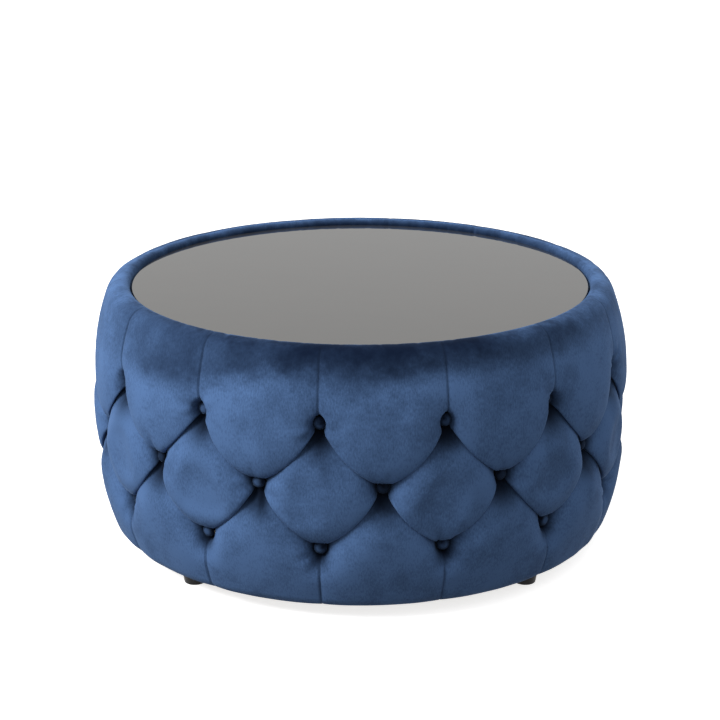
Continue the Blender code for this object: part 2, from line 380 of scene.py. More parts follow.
def lining_material():
    """Charcoal polyester cloth in a plain weave."""
    gloss = {"Sheen Weight": 0.25, "Sheen Roughness": 0.5}
    made, n = new_material("charcoal_lining", (0.035, 0.036, 0.040), 0.85, gloss)
    cloth = n.cloth()
    weave = n.product(n.wave(cloth, "X", THREAD), n.wave(cloth, "Y", THREAD))
    slubs = n.noise(n.scaled(cloth, (30, 900, 1)), 1, 3)
    shade = n.math("ADD", n.span(weave, -1, 1, 0.0, 0.6), n.product(slubs, 0.4))
    n.set("Base Color", n.mix(shade, (0.018, 0.0185, 0.021), (0.060, 0.061, 0.067)))
    n.bump(weave, 0.5, 0.0003)
    return made


def dust_cloth_material():
    """Black spun-bonded cloth, spot-bonded in a close grid."""
    gloss = {"Sheen Weight": 0.15, "Sheen Roughness": 0.6}
    made, n = new_material("black_dust_cloth", (0.012, 0.012, 0.013), 0.8, gloss)
    place = n.place()
    spots = n.span(n.product(n.wave(place, "X", BOND), n.wave(place, "Y", BOND)), 0.45, 0.75)
    fibres = n.noise(n.scaled(place, (500, 1400, 500)), 1, 3, 0.7)
    shade = n.mix(n.span(fibres, 0.35, 0.7), (0.006, 0.006, 0.007), (0.034, 0.034, 0.036))
    n.set("Base Color", n.mix(spots, shade, (0.005, 0.005, 0.006)))
    n.set("Roughness", n.span(spots, 0, 1, 0.88, 0.45))
    n.bump(n.math("SUBTRACT", fibres, spots), 0.5, 0.0004)
    return made


def foam_material():
    """Cut polyurethane foam, yellowed a little in patches."""
    made, n = new_material("cut_foam", (0.80, 0.70, 0.46), 0.9, {"Specular IOR Level": 0.2})
    place = n.place()
    cells = n.run("ShaderNodeTexVoronoi", {"Vector": place, "Scale": 900}, "Distance")
    tone = n.mix(n.span(n.noise(place, 9, 3), 0.35, 0.65), (0.84, 0.76, 0.54), (0.74, 0.61, 0.36))
    n.set("Base Color", n.mix(n.span(cells, 0.1, 0.6, 0.45, 0.0), tone, (0.46, 0.36, 0.20)))
    n.bump(cells, 0.6, 0.0006)
    return made


def plastic_material():
    """Black moulded plastic with a fine spark texture, scuffed grey near the floor."""
    made, n = new_material("black_plastic", (0.012, 0.012, 0.013), 0.45, {"Specular IOR Level": 0.2})
    place = n.place()
    spark = n.noise(place, 2600, 2)
    scuffs = n.noise(n.scaled(place, (1, 1, 4)), 160, 5, 0.7)
    low = n.span(n.axis(place, "Z"), 0.0, 0.006, 1.0, 0.0)
    worn = n.product(low, n.span(scuffs, 0.50, 0.70))
    n.set("Base Color", n.mix(worn, (0.012, 0.012, 0.013), (0.07, 0.068, 0.065)))
    n.set("Roughness", n.math("ADD", n.span(spark, 0.3, 0.7, 0.38, 0.50), n.product(worn, 0.25)))
    n.bump(spark, 0.35, 0.0001)
    return made


def silicone_material():
    """Clear soft silicone, a little cloudy."""
    clear = {"IOR": 1.41, "Transmission Weight": 0.85}
    made, n = new_material("clear_silicone", (0.86, 0.88, 0.88), 0.18, clear)
    haze = n.noise(n.place(), 400, 3)
    n.set("Roughness", n.span(haze, 0.3, 0.7, 0.12, 0.30))
    n.set("Base Color", n.mix(haze, (0.80, 0.83, 0.83), (0.92, 0.93, 0.92)))
    return made


def metal_material(name, colour, roughness):
    """Plated steel, dulled in spots."""
    made, n = new_material(name, colour, roughness, {"Metallic": 1.0})
    spots = n.noise(n.place(), 900, 4, 0.65)
    dull = tuple(0.72 * part for part in colour)
    n.set("Base Color", n.mix(n.span(spots, 0.4, 0.7), colour, dull))
    n.set("Roughness", n.span(spots, 0.3, 0.7, roughness - 0.08, roughness + 0.15))
    return made


# The upholstery


def side_radius(height):
    """The crest of the barrel-shaped side, without its tufting."""
    return RADIUS - BELLY_DROP * (np.abs(height - BELLY_HEIGHT) / BELLY_HALF) ** BELLY_POWER


def curve(start, start_pull, end_pull, end, count):
    """Points along a cubic curve from start to end, without the first."""
    t = np.linspace(0, 1, count + 1)[1:, None]
    points = [np.array(p, float) for p in (start, start_pull, end_pull, end)]
    weights = ((1 - t) ** 3, 3 * t * (1 - t) ** 2, 3 * t**2 * (1 - t), t**3)
    return sum(w * p for w, p in zip(weights, points))


def roll(start, corner, end, count, fullness=0.60):
    """A rounded turn from start to end, leaving and arriving along the lines through corner."""
    start, corner, end = (np.array(p, float) for p in (start, corner, end))
    return curve(start, start + fullness * (corner - start), end + fullness * (corner - end), end, count)


def line(start, end, count):
    return curve(start, start, end, end, count)


def side_end(height):
    """A point (radius, height) at an end of the side, and the side's slope there."""
    step = 0.0005
    slope = (side_radius(height + step) - side_radius(height - step)) / (2 * step)
    return (side_radius(height), height), slope


def top_section():
    """From the cut edge on the ledge, up the recess and over the rim, to the top of the side."""
    end, slope = side_end(SIDE_TOP)
    corner = (end[0] + slope * (CREST[1] - end[1]), CREST[1])
    under = FLANGE_TOP - CLOTH
    fillet = 0.003
    wall_foot = (RECESS[0], FLANGE_TOP + fillet)
    ledge_end = (RECESS[0] - fillet, FLANGE_TOP)
    cut = (FLANGE_EDGE, under + CLOTH / 2)
    ledge_start = (FLANGE_EDGE + CLOTH, FLANGE_TOP)
    parts = [
        [(FLANGE_EDGE + 0.004, under)],
        roll((FLANGE_EDGE + CLOTH, under), (FLANGE_EDGE, under), cut, 2),
        roll(cut, (FLANGE_EDGE, FLANGE_TOP), ledge_start, 2),
        line(ledge_start, ledge_end, 2),
        roll(ledge_end, (RECESS[0], FLANGE_TOP), wall_foot, 3),
        line(wall_foot, RECESS, 3),
        roll(RECESS, (RECESS[0], CREST[1]), CREST, 8),
        roll(CREST, corner, end, 11),
    ]
    return np.concatenate([np.array(p, float) for p in parts])


def bottom_section():
    """From the bottom of the side round the lower roll and in under the base, to the cut edge."""
    start, slope = side_end(SIDE_BOTTOM)
    low = UNDERSIDE[1]
    corner = (start[0] + slope * (low - start[1]), low)
    cut = (UNDER_EDGE + CLOTH, low)
    parts = [
        [start],
        roll(start, corner, UNDERSIDE, 12),
        line(UNDERSIDE, cut, 4),
        roll(cut, (UNDER_EDGE, low), (UNDER_EDGE, low + CLOTH), 3),
    ]
    return np.concatenate([np.array(p, float) for p in parts])


def outward(section):
    """Unit normals of a section, away from the padding, and level where the section meets the side."""
    along = np.gradient(section, axis=0)
    normals = np.stack([-along[:, 1], along[:, 0]], axis=1)
    to_side = np.minimum(*(np.abs(section[:, 1] - height) for height in (SIDE_TOP, SIDE_BOTTOM)))
    level = (1 - smooth(to_side / 0.008))[:, None] * (section[:, :1] > CREST[0])
    normals = normals / np.linalg.norm(normals, axis=1)[:, None] * (1 - level) + level * np.array([1.0, 0.0])
    return normals / np.linalg.norm(normals, axis=1)[:, None]


def closer_at_ends(count, closeness=0.55):
    """Numbers from 0 to 1, closer together at both ends."""
    t = np.linspace(0, 1, count + 1)
    return t - closeness * np.sin(2 * pi * t) / (2 * pi)


def rise(distance, reach, power, root):
    """A pillow's section: 0 in the fold, 1 beyond its reach."""
    left = 1 - np.clip(distance / reach, 0, 1)
    return (1 - left**power) ** (1 / root)


def to_fold(x, y, start, end):
    """Each point's distance to a straight fold, and how far along the fold it is, 0 to 1."""
    dx, dy = end[0] - start[0], end[1] - start[1]
    t = np.clip(((x - start[0]) * dx + (y - start[1]) * dy) / (dx * dx + dy * dy), 0, 1)
    return np.hypot(x - start[0] - t * dx, y - start[1] - t * dy), t


def folds(side, middle):
    """The two folds from the buttons at a pillow's sides to the one on its middle line, by their heights."""
    return [((x, side), (0, middle)) for x in (-HALF, HALF)]


# Each kind of pillow: its buttons, the folds that it hangs over, and the folds that it is tucked under, in
# metres along the side from its middle line and up from the bottom row
BUTTONS_OF = {
    "top": [(-HALF, 2 * ROW), (HALF, 2 * ROW), (0, ROW)],
    "middle": [(-HALF, ROW), (HALF, ROW), (0, 0), (0, 2 * ROW)],
    "bottom": [(-HALF, 0), (HALF, 0), (0, ROW)],
}
OVER = {"top": folds(2 * ROW, ROW), "middle": folds(ROW, 0), "bottom": []}
UNDER = {"top": [], "middle": folds(ROW, 2 * ROW), "bottom": folds(0, ROW)}


def nearest_fold(kind, x, y):
    return np.min([to_fold(x, y, *fold)[0] for fold in OVER[kind] + UNDER[kind]], axis=0)


def nearest_button(kind, x, y):
    return np.min([np.hypot(x - bx, y - by) for bx, by in BUTTONS_OF[kind]], axis=0)


def pleat(x, depth):
    """How far the straight pleats beside a top or bottom pillow draw in the cover."""
    away = HALF - np.abs(x)
    crisp = 1 - rise(away, np.where(x > 0, LAP_REACH, PLEAT_REACH), 2.2, 2.2)
    broad = 1 - rise(away, 0.055, 2, 1)
    return depth * (0.7 * crisp + 0.9 * broad)


def smooth(value):
    value = np.clip(value, 0, 1)
    return value * value * (3 - 2 * value)


def pull(x, y):
    """How deep the cover lies at a place given from a button. The pull reaches furthest down."""
    away = np.hypot(x, y)
    under = smooth((-y / np.maximum(away, 1e-6) - 0.72) / 0.28)
    reach = DIMPLE_REACH + (PIT_REACH - DIMPLE_REACH) * under
    return FOLD_DEPTH + (BUTTON_DEPTH - FOLD_DEPTH) * np.exp(-((away / reach) ** (1.5 + 0.7 * under)))


def wrinkles(x, y, chance):
    """Short creases that run out from a button."""
    away, angle = np.hypot(x, y), np.arctan2(y, x)
    size = WRINKLE * chance.uniform(0.2, 1.0) ** 2
    band = np.exp(-(((away - 0.026) / 0.014) ** 2))
    waves = sum(np.sin(count * angle + chance.uniform(0, 2 * pi)) for count in (7, 9, 13))
    return size * band * waves


def lump_waves():
    """The padding's unevenness, as (count round the drum, radians a metre down it, phase, size)."""
    chance = np.random.default_rng(SEED)
    slants_and_phases = [(chance.uniform(-60, 60), chance.uniform(0, 2 * pi)) for _ in LUMP_COUNTS]
    return [(count, *pair, count**-0.7) for count, pair in zip(LUMP_COUNTS, slants_and_phases)]


def gathers(turn):
    """The small gathers where the cover turns in over the rim."""
    waves = sum(np.sin(count * turn + phase) for count, phase in GATHER_WAVES)
    patches = 0.5 + 0.5 * np.sin(5 * turn + 1.0) * np.sin(3 * turn + 0.3)
    return GATHER * patches * np.clip(waves, 0, None)


def lumps(turn, along):
    waves = [size * np.sin(count * turn + slant * along + phase) for count, slant, phase, size in LUMP_WAVES]
    return LUMP * sum(waves)


def pillow(kind, x, y, chance):
    """For each point of a pillow: how far the tufting draws it in, how full the pillow is there, and how far
    the point moves along the side and up."""
    offsets = [(x - bx, y - by) for bx, by in BUTTONS_OF[kind]]
    to_button = nearest_button(kind, x, y)
    fullness = smooth((to_button - 0.0075) / 0.012)
    loose = smooth((to_button - 0.006) / 0.010)
    for start, end in UNDER[kind]:
        distance = to_fold(x, y, start, end)[0]
        fullness *= rise(distance, PILLOW_REACH, 2, 1)
        loose *= smooth(distance / 0.02)
    if kind == "top":
        loose *= smooth((HALF - np.abs(x)) / 0.012) * smooth((SIDE_TOP - BOTTOM_ROW - y) / 0.04)
    shift_x, shift_y = np.zeros_like(x), np.zeros_like(y)
    for start, end in OVER[kind]:
        distance, along = to_fold(x, y, start, end)
        other = to_fold(x, y, (-start[0], start[1]), end)[0]
        fullness *= rise(distance, PILLOW_REACH, 2.3, 2.3)
        sag = SAG * chance.uniform(0.6, 1.4) * (0.25 + 0.75 * np.sin(pi * along))
        near = np.exp(-distance / 0.024) * (1 - np.exp(-distance / 0.0022))
        hang = sag * loose * smooth(other / 0.012) * near
        shift_x += hang * np.sign(start[0])
        shift_y -= hang
    sink = np.max([pull(*offset) for offset in offsets], axis=0) * (1 - fullness)
    flat = np.clip(fullness * 2, 0, 1)
    if kind != "middle":
        flat = flat * smooth((HALF - np.abs(x)) / 0.015)
    for offset in offsets:
        sink += flat * wrinkles(*offset, chance)
    if kind == "top":
        above = y - 2 * ROW
        sink += pleat(x, PLEAT_DEPTH * np.clip(above / 0.01, 0, 1) * (1 - 0.6 * np.clip(above / 0.07, 0, 1)))
    if kind == "bottom":
        sink += pleat(x, PLEAT_DEPTH * np.clip(-y / 0.01, 0, 1))
    return sink, fullness, shift_x, shift_y


def lengths(section):
    """How far along a section each of its points is."""
    return np.concatenate([[0], np.cumsum(np.linalg.norm(np.diff(section, axis=0), axis=1))])


LUMP_COUNTS = range(6, 70, 4)
LUMP_WAVES = lump_waves()
RIM_LENGTH = lengths(top_section())[-1]


def turn_at(column, x):
    """The azimuth of a place x metres along the side from a column's middle line."""
    return BUTTON_PHASE + 2 * pi * (column + x / COLUMN) / BUTTON_COLUMNS


def cloth_mesh(name, points, faces, maps):
    """A mesh that keeps its places on the flat cloth as a UV map."""
    made = bpy.data.meshes.new(name)
    made.from_pydata(points.tolist(), [], faces.tolist())
    made.uv_layers.new(name="cloth").data.foreach_set("uv", maps[faces.reshape(-1)].reshape(-1))
    return made


def merged(mesh, gap, face_out=False):
    """Merges points closer than gap."""
    shape = bmesh.new()
    shape.from_mesh(mesh)
    bmesh.ops.remove_doubles(shape, verts=shape.verts, dist=gap)
    if face_out:
        bmesh.ops.recalc_face_normals(shape, faces=shape.faces)
    shape.to_mesh(mesh)
    shape.free()
    mesh.shade_smooth()
    return mesh


class Skin:
    """Gathers the cover's patches into one mesh."""

    def __init__(self):
        self.points, self.faces, self.maps, self.tucks, self.holds = [], [], [], [], []
        self.count = 0

    def add(self, x, along, radius, height, column, tuck=0, held=0):
        """Adds a patch, as grids: places along the side from the column, down the cloth, and in space."""
        turn = turn_at(column, x)
        points = np.stack([radius * np.sin(turn), -radius * np.cos(turn), height], axis=-1)
        cloth = np.stack([column * COLUMN + x, along], axis=-1)
        index = self.count + np.arange(x.size).reshape(x.shape)
        quads = np.stack([index[:-1, :-1], index[1:, :-1], index[1:, 1:], index[:-1, 1:]], axis=-1)
        self.points.append(points.reshape(-1, 3))
        self.maps.append(cloth.reshape(-1, 2))
        self.tucks.append(np.broadcast_to(tuck, x.shape).reshape(-1))
        self.holds.append(np.broadcast_to(held, x.shape).reshape(-1))
        self.faces.append(quads.reshape(-1, 4))
        self.count += x.size

    def mesh(self, name):
        made = cloth_mesh(name, *(np.concatenate(part) for part in (self.points, self.faces, self.maps)))
        # Each point's painted shade for pits and creases, and how firmly it is held
        for key, values in (("tuck", self.tucks), ("held", self.holds)):
            made.attributes.new(key, "FLOAT", "POINT").data.foreach_set("value", np.concatenate(values))
        return merged(made, 0.00002)


def shade_in_pits(kind, x, y, sink):
    """Painted shade for a point: 0 on a pillow, 1 at the bottom of a pit, deeper in the tufting, under
    buttons and along folds and pleats.
    """
    shade = smooth((sink / BUTTON_DEPTH - 0.35) / 0.6)
    for bx, by in BUTTONS_OF[kind]:
        below = by - y
        at_top = below.max() > 0 and bx == 0
        wide, tall = (PIT_SHADE_WIDTH, PIT_SHADE_HEIGHT) if at_top else (PIT_SHADE_WIDTH * 0.42, PIT_SHADE_HEIGHT * 0.55)
        pit = np.exp(-(((x - bx) / wide) ** 2) - ((below - 0.3 * tall) / tall) ** 2)
        shade = np.maximum(shade, pit * (below > -0.012))
    shade = np.maximum(shade, CREASE_SHADE * np.exp(-((nearest_fold(kind, x, y) / CREASE_WIDTH) ** 2)))
    if kind != "middle":
        shade = np.maximum(shade, 0.45 * shade_in_pleat(x) * beside_pleat(y))
    return shade


def beside_pleat(y):
    """Whether a place in a top or bottom pillow is level with its pleats, and not with its folds."""
    return (y > 2 * ROW - 0.002) | (y < 0.002)


def shade_in_pleat(x):
    return CREASE_SHADE * np.exp(-(((HALF - np.abs(x)) / CREASE_WIDTH) ** 2))


def held_on_side(kind, x, y):
    """How firmly the cover is held by its folds, buttons, ends and pleats: 0 free to 1 fixed."""
    held = [
        smooth((HOLD_REACH - nearest_fold(kind, x, y)) / HOLD_REACH),
        smooth((0.018 - nearest_button(kind, x, y)) / 0.006),
        smooth(1 - (SIDE_TOP - BOTTOM_ROW - y) / 0.030),
        smooth(1 - (y - SIDE_BOTTOM + BOTTOM_ROW) / 0.020),
    ]
    if kind != "middle":
        held.append(smooth((HOLD_REACH - (HALF - np.abs(x))) / HOLD_REACH) * beside_pleat(y))
    return np.max(held, axis=0)


def inflate(cover):
    """Lets the cover swell as cloth under the padding's pressure, held at its folds, pleats and buttons."""
    mesh = cover.data
    before = np.empty(3 * len(mesh.vertices))
    mesh.vertices.foreach_get("co", before)
    held = np.empty(len(mesh.vertices))
    mesh.attributes["held"].data.foreach_get("value", held)
    group = cover.vertex_groups.new(name="held")
    for step in range(11):
        chosen = np.flatnonzero(np.round(held * 10).astype(int) == step)
        group.add(chosen.tolist(), step / 10, "REPLACE")
    cloth = cover.modifiers.new("cloth", "CLOTH")
    settings = cloth.settings
    settings.vertex_group_mass = "held"
    for key, value in CLOTH_SETTINGS.items():
        setattr(settings, key, value)
    settings.effector_weights.gravity = 0
    cloth.collision_settings.use_collision = False
    scene = bpy.context.scene
    for number in range(1, CLOTH_FRAMES + 1):
        scene.frame_set(number)
    shown = cover.evaluated_get(bpy.context.evaluated_depsgraph_get())
    after = np.empty_like(before)
    shown.data.vertices.foreach_get("co", after)
    cover.modifiers.remove(cloth)
    scene.frame_set(1)
    move = (after - before).reshape(-1, 3)
    distance = np.linalg.norm(move, axis=1)
    move *= (CLOTH_CAP * np.tanh(distance / CLOTH_CAP) / np.maximum(distance, 1e-9))[:, None]
    mesh.vertices.foreach_set("co", (before.reshape(-1, 3) + move).reshape(-1))
    mesh.update()


def add_section(skin, section, x, column, start_along, depths, uneven, gathered):
    """The part of the cover over the rim, or round the lower roll: one section carried along x."""
    normals = outward(section)
    turn = turn_at(column, x)
    along = start_along + lengths(section)
    xs = np.broadcast_to(x, (len(section), len(x)))
    sink = pleat(xs, depths[:, None]) + lumps(turn, along[:, None]) * uneven[:, None]
    sink += gathers(turn) * gathered[:, None]
    radius = section[:, :1] - normals[:, :1] * sink
    height = section[:, 1:] - normals[:, 1:] * sink
    # Painted shade along the pleats where they run over the rim
    shade = 0.3 * shade_in_pleat(xs) * (section[:, :1] > CREST[0])
    skin.add(xs, np.broadcast_to(along[:, None], xs.shape), radius, height, column, shade, 1)


def add_side(skin, kind, x, y, column, chance):
    sink, fullness, shift_x, shift_y = pillow(kind, x, y, chance)
    turn = turn_at(column, x)
    along = RIM_LENGTH + SIDE_TOP - BOTTOM_ROW - y
    height = BOTTOM_ROW + y + shift_y
    radius = side_radius(height) - sink - fullness * lumps(turn, along)
    shade = shade_in_pits(kind, x, y, sink)
    skin.add(x + shift_x, along, radius, height, column, shade, held_on_side(kind, x, y))


def pillow_grids(ends, share):
    """A pillow's columns, and for each kind its grids of places and its shift from the column. ends are
    places along half a pillow, and share the rows of a top or bottom one, from 0 to 1."""
    x = HALF * np.concatenate([ends - 1, ends[1:]])
    rising = ROW * (1 + np.abs(x) / HALF)
    falling = ROW * (1 - np.abs(x) / HALF)
    top = rising + share[::-1, None] * (SIDE_TOP - BOTTOM_ROW - rising)
    bottom = falling + share[:, None] * (SIDE_BOTTOM - BOTTOM_ROW - falling)
    right, left = np.meshgrid(ends, ends)
    xs = np.broadcast_to(x, top.shape)
    middle = ("middle", (right - left) * HALF, (right + left) * ROW, 0)
    return x, (("top", xs, top, 0.5), middle, ("bottom", xs, bottom, 0.5))


def cover_mesh():
    x, grids = pillow_grids(closer_at_ends(STEPS), np.linspace(0, 1, STEPS) ** 1.7)
    top = top_section()
    bottom = bottom_section()
    skin = Skin()
    chance = np.random.default_rng(SEED)
    top_uneven = smooth((top[:, 0] - CREST[0]) / (top[-1, 0] - CREST[0]))
    bottom_uneven = smooth((bottom[:, 1] - UNDERSIDE[1]) / 0.01)
    gathered = smooth((top[:, 1] - FLANGE_TOP) / 0.012) * smooth((CREST[0] + 0.016 - top[:, 0]) / 0.02)
    top_depths = PLEAT_DEPTH * 0.4 * np.linspace(0, 1, len(top)) ** 4
    bottom_depths = PLEAT_DEPTH * np.linspace(1, 0, len(bottom)) ** 2
    to_bottom = RIM_LENGTH + SIDE_TOP - SIDE_BOTTOM
    for number in range(BUTTON_COLUMNS):
        between = number + 0.5
        add_section(skin, top, x, between, 0, top_depths, top_uneven, gathered)
        for kind, across, up, shift in grids:
            add_side(skin, kind, across, up, number + shift, chance)
        add_section(skin, bottom, x, between, to_bottom, bottom_depths, bottom_uneven, 0 * bottom_depths)
    return skin.mesh("velvet_cover_tufted")


def put(name, mesh, material, body, replaced=(), place=(0, 0, 0), turn=(0, 0, 0)):
    """A finished piece, riding on its body."""
    if not mesh.materials:
        mesh.materials.append(material)
    made = bpy.data.objects.new(name, mesh)
    made.location = place
    made.rotation_euler = turn
    bpy.context.scene.collection.objects.link(made)
    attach(made, body)
    if replaced:
        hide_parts(*replaced)
    return made


def joined(name, parts):
    """One mesh from (points, faces) parts."""
    points, faces, count = [], [], 0
    for more, sides in parts:
        points += [tuple(point) for point in more]
        faces += [tuple(count + corner for corner in side) for side in sides]
        count += len(more)
    made = bpy.data.meshes.new(name)
    made.from_pydata(points, [], faces)
    return made


def turned(name, outline, count=192, shape=None):
    """A surface from an outline of (radius, height), turned round the upright. shape moves its points."""
    outline = np.array(outline, float)
    turn = np.linspace(0, 2 * pi, count + 1)
    radius = np.repeat(outline[:, :1], count + 1, axis=1)
    height = np.repeat(outline[:, 1:], count + 1, axis=1)
    if shape:
        radius, height = shape(radius, height, turn)
    points = np.stack([radius * np.sin(turn), -radius * np.cos(turn), height], axis=-1).reshape(-1, 3)
    index = np.arange(len(points)).reshape(radius.shape)
    faces = np.stack([index[:-1, :-1], index[:-1, 1:], index[1:, 1:], index[1:, :-1]], axis=-1)
    faces = faces.reshape(-1, 4)
    along = lengths(outline)
    flat = np.stack([turn * outline[:, 0].max() + 0 * height, along[:, None] + 0 * height], axis=-1)
    flat = flat.reshape(-1, 2)
    return merged(cloth_mesh(name, points, faces, flat), 0.000001, face_out=True)


def rounded(points, radius, count=4):
    """An outline with its corners rounded off. A point beside each rounding keeps the flats flat."""
    points = [np.array(point, float) for point in points]
    result = [points[0]]
    for before, corner, after in zip(points, points[1:], points[2:]):
        back = radius * (before - corner) / np.linalg.norm(before - corner)
        on = radius * (after - corner) / np.linalg.norm(after - corner)
        result += [corner + 1.5 * back, corner + back]
        result += [*roll(corner + back, corner, corner + on, count), corner + 1.5 * on]
    return result + [points[-1]]


def sizes(node):
    """A round node's outer radius, bottom and top."""
    low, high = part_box(node)
    return (high[0] - low[0]) / 2, low[2], high[2]


def glass():
    radius, bottom, top = sizes("glass_top")
    outline = rounded([(0, bottom), (radius, bottom), (radius, top), (0, top)], GLASS_EDGE)
    mesh = turned("polished_glass", outline, 256)
    put("smoked_glass_sheet", mesh, glass_material(), "glass", ["glass_top"])


def wire(path, thickness, count=6):
    """A bent round wire as (points, faces), with closed ends."""
    path = np.array(path, float)
    along = np.gradient(path, axis=0)
    points, faces = [], []
    for place, way in zip(path, along):
        across = Vector(way).orthogonal().normalized()
        other = Vector(way).normalized().cross(across)
        for number in range(count):
            angle = 2 * pi * number / count
            points.append(tuple(Vector(place) + thickness / 2 * (cos(angle) * across + sin(angle) * other)))
    for low in range(0, len(points) - count, count):
        for number in range(count):
            after = (number + 1) % count
            faces.append((low + number, low + after, low + count + after, low + count + number))
    faces.append(tuple(range(count))[::-1])
    faces.append(tuple(range(len(points) - count, len(points))))
    return points, faces


def staples(name, radius, height, count, material, rise=1):
    """A ring of staples lying on a face that looks up (rise 1) or down (-1)."""
    parts = []
    chance = np.random.default_rng(SEED)
    for number in range(count):
        turn = 2 * pi * (number + chance.uniform(-0.15, 0.15)) / count
        slant = chance.uniform(-0.25, 0.25)
        middle = Vector((radius * sin(turn), -radius * cos(turn), height))
        way = Vector((cos(turn + slant), sin(turn + slant), 0))
        legs = ((-1, -1.0), (-1, 0.0), (-0.85, 0.4), (0.85, 0.4), (1, 0.0), (1, -1.0))
        upward = Vector((0, 0, rise * STAPLE_WIRE))
        path = [middle + way * STAPLE / 2 * out + upward * up for out, up in legs]
        parts.append(wire(path, STAPLE_WIRE))
    mesh = joined(name, parts)
    mesh.shade_smooth()
    put(name, mesh, material, "drum")


def foot_mesh():
    """A moulded foot, rounded at its floor edge, with a recess for its screw."""
    radius, _, top = sizes("foot_1")
    recess = [(0, FOOT_RECESS), (0.0062, FOOT_RECESS), (0.0068, 0.0)]
    outline = rounded([*recess, (0.0172, 0.0), (radius, top), (0, top)], 0.0009, 3)
    return turned("moulded_foot", outline, 64)


def screw_mesh():
    """A pan-head screw seen from under its head, with a cross cut in it."""
    dome = [(0, -0.0022), (0.0016, -0.0021), (0.0032, -0.0016), (0.0042, -0.0006)]
    return turned("screw_head", [*dome, (0.0044, 0.0), (0.0044, 0.0006)], 48, cross_cut)


def cross_cut(radius, height, turn):
    """Presses a cross into a screw's head."""
    x, y = radius * np.sin(turn), radius * np.cos(turn)
    inside = (np.minimum(np.abs(x), np.abs(y)) < 0.0006) & (radius < 0.0027)
    return radius, height + 0.0012 * inside


def middle_of(node):
    low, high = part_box(node)
    return (low[0] + high[0]) / 2, (low[1] + high[1]) / 2


def feet():
    plastic = plastic_material()
    metal = metal_material("zinc", (0.52, 0.52, 0.50), 0.32)
    foot, screw = foot_mesh(), screw_mesh()
    for number in range(1, 5):
        x, y = middle_of(f"foot_{number}")
        put(f"moulded_foot_{number}", foot, plastic, "drum", [f"foot_{number}"], (x, y, 0))
        put(f"foot_screw_{number}", screw, metal, "drum", (), (x, y, FOOT_RECESS))


def cross_waves(turn, radius, waves):
    """Unevenness on a round sheet. Each wave is (count round it, phase, radians a metre outwards)."""
    return sum(np.sin(count * turn + phase) * np.sin(radius * pace + phase) for count, phase, pace in waves)


def liner():
    """The cloth bag inside the drum: a flat floor, a wall hanging in soft folds, and a piped seam."""
    radius, bottom, top = sizes("storage_liner")
    floor = bottom + 0.0017
    wall = radius - 0.0020
    outline = [(0, floor), *line((0.04, floor), (wall - 0.022, floor), 12)]
    outline += list(roll((wall - 0.022, floor), (wall, floor), (wall, floor + 0.022), 8))
    outline += list(line((wall, floor + 0.022), (wall, top - 0.0005), 40))

    def hang(radius, height, turn):
        """Folds run down the wall, fullest between the seam and the hem."""
        share = np.clip((height - floor - 0.004) / (top - floor), 0, 1)
        full = np.sin(pi * share) ** 0.8
        waves = ((23, 0.3, 1.5), (37, 2.0, -2.2), (58, 4.4, 3.0))
        folds = sum(np.sin(count * turn + phase + slant * share) for count, phase, slant in waves)
        ripples = cross_waves(turn, radius, ((7, 1.0, 38), (12, 2.6, 61)))
        on_floor = smooth((wall - 0.03 - radius) / 0.02) * smooth(radius / 0.05)
        return radius - 0.0016 * full * (folds + 3) / 2, height + 0.0004 * on_floor * (ripples + 2)

    cloth = lining_material()
    mesh = turned("hung_liner", outline, 320, hang)
    bag = put("cloth_storage_liner", mesh, cloth, "drum", ["storage_liner"])
    round_seam = SEAM_PIPING * np.exp(2j * pi * np.arange(11) / 10)
    seam = np.stack([round_seam.real + wall - 0.0062, round_seam.imag + floor + 0.0062], axis=1)
    piping = put("liner_piping", turned("liner_seam", seam, 320), cloth, "drum")


def dust_cover():
    """The thin cloth under the base, stapled at its edge and a little slack between the feet."""
    radius, bottom, top = sizes("dust_cover")
    inner = (radius - 0.006, bottom)
    outline = [(0, bottom), *line((0.02, bottom), inner, 30)]
    outline += rounded([inner, (radius, bottom), (radius, top), (radius - 0.014, top)], 0.0003, 2)

    def slack(radius, height, turn):
        """The cloth sags in its middle, and puckers between the staples."""
        under = height < bottom + 0.0001
        free = smooth((0.34 - radius) / 0.06) * smooth(radius / 0.16)
        waves = cross_waves(turn, radius, ((3, 0.7, 17), (5, 2.2, 29), (8, 4.1, 46)))
        puckers = np.sin(56 * turn) * smooth((radius - 0.33) / 0.04) * smooth((0.386 - radius) / 0.02)
        return radius, height - under * (0.0011 * free * (waves + 1.6) / 2 + 0.0003 * (puckers + 1))

    mesh = turned("slack_dust_cover", outline, 224, slack)
    sheet = put("stapled_dust_cover", mesh, dust_cloth_material(), "drum", ["dust_cover"])


def bumpers():
    """Clear domed stick-on bumpers between the lid board and the glass."""
    radius, bottom, top = sizes("glass_bumper_1")
    dome = roll((radius, bottom + 0.0003), (radius, top), (radius - 0.004, top), 6)
    mesh = turned("clear_bumper", [(0, bottom), (radius - 0.0006, bottom), *dome, (0, top)], 48)
    clear = silicone_material()
    for number in range(1, 5):
        node = f"glass_bumper_{number}"
        put(f"silicone_bumper_{number}", mesh, clear, "lid", [node], (*middle_of(node), 0))


